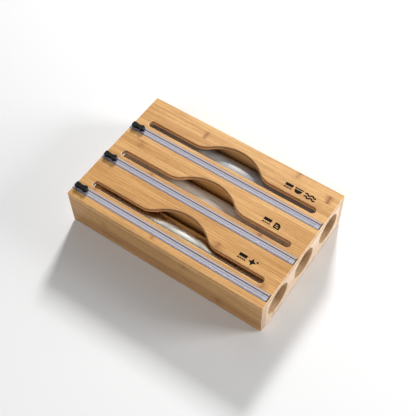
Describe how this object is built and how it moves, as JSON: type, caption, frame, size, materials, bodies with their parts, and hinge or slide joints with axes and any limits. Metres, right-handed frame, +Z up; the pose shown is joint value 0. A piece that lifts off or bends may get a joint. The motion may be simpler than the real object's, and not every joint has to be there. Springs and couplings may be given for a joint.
{
  "type": "cling film dispenser",
  "caption": "Bamboo drawer box that holds rolls of kitchen wrap side by side under a hinged lid with wave slots and slide cutters on clear tracks.",
  "frame": {"origin": "on the standing plane, under the middle of the wooden case", "axes": "+X along the rolls and rails, -Y the front, +Z up"},
  "size_m": [0.335, 0.221, 0.0762],
  "materials": {
    "bamboo": "satin lacquered laminated bamboo, fine grain along the rolls",
    "clear_rail": "clear extruded track that reads as pale lilac grey",
    "black_plastic": "moulded, satin",
    "blade_steel": "ground edge",
    "pin_steel": "drawn wire",
    "magnet": "nickel plated",
    "hinge_brass": "plated, satin",
    "rubber_feet": "matt",
    "cardboard": "spiral wound tube",
    "cling_film": "glossy wound film",
    "wax_paper": "waxed, matt",
    "foil": "wound foil, bright"
  },
  "bodies": {
    "case": {"front_panel": "bamboo", "back_panel": "bamboo", "left_panel": "bamboo", "right_panel": "bamboo", "bottom_panel": "bamboo", "divider_front": "bamboo", "divider_rear": "bamboo", "foot_front_left": "rubber_feet", "foot_front_right": "rubber_feet", "foot_rear_left": "rubber_feet", "foot_rear_right": "rubber_feet", "magnet_case_left": "magnet", "magnet_case_right": "magnet", "hinge_leaf_case_left": "hinge_brass", "hinge_pin_left": "pin_steel", "hinge_screw_case_left_left": "hinge_brass", "hinge_screw_case_left_right": "hinge_brass", "hinge_leaf_case_right": "hinge_brass", "hinge_pin_right": "pin_steel", "hinge_screw_case_right_left": "hinge_brass", "hinge_screw_case_right_right": "hinge_brass"},
    "lid": {"lid_panel": "bamboo", "magnet_lid_left": "magnet", "magnet_lid_right": "magnet", "hinge_leaf_lid_left": "hinge_brass", "hinge_screw_lid_left_left": "hinge_brass", "hinge_screw_lid_left_right": "hinge_brass", "hinge_leaf_lid_right": "hinge_brass", "hinge_screw_lid_right_left": "hinge_brass", "hinge_screw_lid_right_right": "hinge_brass", "rail_front": "clear_rail", "rail_cap_front": "clear_rail", "rail_stop_front": "clear_rail", "rail_middle": "clear_rail", "rail_cap_middle": "clear_rail", "rail_stop_middle": "clear_rail", "rail_rear": "clear_rail", "rail_cap_rear": "clear_rail", "rail_stop_rear": "clear_rail"},
    "slider_front": {"slider_knob_front": "black_plastic", "slider_shoe_front": "black_plastic", "blade_front": "blade_steel"},
    "slider_middle": {"slider_knob_middle": "black_plastic", "slider_shoe_middle": "black_plastic", "blade_middle": "blade_steel"},
    "slider_rear": {"slider_knob_rear": "black_plastic", "slider_shoe_rear": "black_plastic", "blade_rear": "blade_steel"},
    "roll_front": {"core_front": "cardboard", "wrap_roll_front": "foil"},
    "roll_middle": {"core_middle": "cardboard", "wrap_roll_middle": "wax_paper"},
    "roll_rear": {"core_rear": "cardboard", "wrap_roll_rear": "cling_film"}
  },
  "joints": [
    {"name": "lid_hinge", "type": "hinge", "parent": "case", "child": "lid", "pos_m": [0, 0.1095, 0.06185], "axis": [-1, 0, 0], "range_deg": [0, 105]},
    {"name": "slide_front", "type": "slide", "parent": "lid", "child": "slider_front", "axis": [1, 0, 0], "range_m": [0, 0.305]},
    {"name": "slide_middle", "type": "slide", "parent": "lid", "child": "slider_middle", "axis": [1, 0, 0], "range_m": [0, 0.305]},
    {"name": "slide_rear", "type": "slide", "parent": "lid", "child": "slider_rear", "axis": [1, 0, 0], "range_m": [0, 0.305]},
    {"name": "roll_spin_front", "type": "hinge", "parent": "case", "child": "roll_front", "pos_m": [0, -0.068, 0.0314], "axis": [1, 0, 0], "continuous": true},
    {"name": "roll_spin_middle", "type": "hinge", "parent": "case", "child": "roll_middle", "pos_m": [0, 0, 0.0309], "axis": [1, 0, 0], "continuous": true},
    {"name": "roll_spin_rear", "type": "hinge", "parent": "case", "child": "roll_rear", "pos_m": [0, 0.068, 0.0324], "axis": [1, 0, 0], "continuous": true}
  ]
}
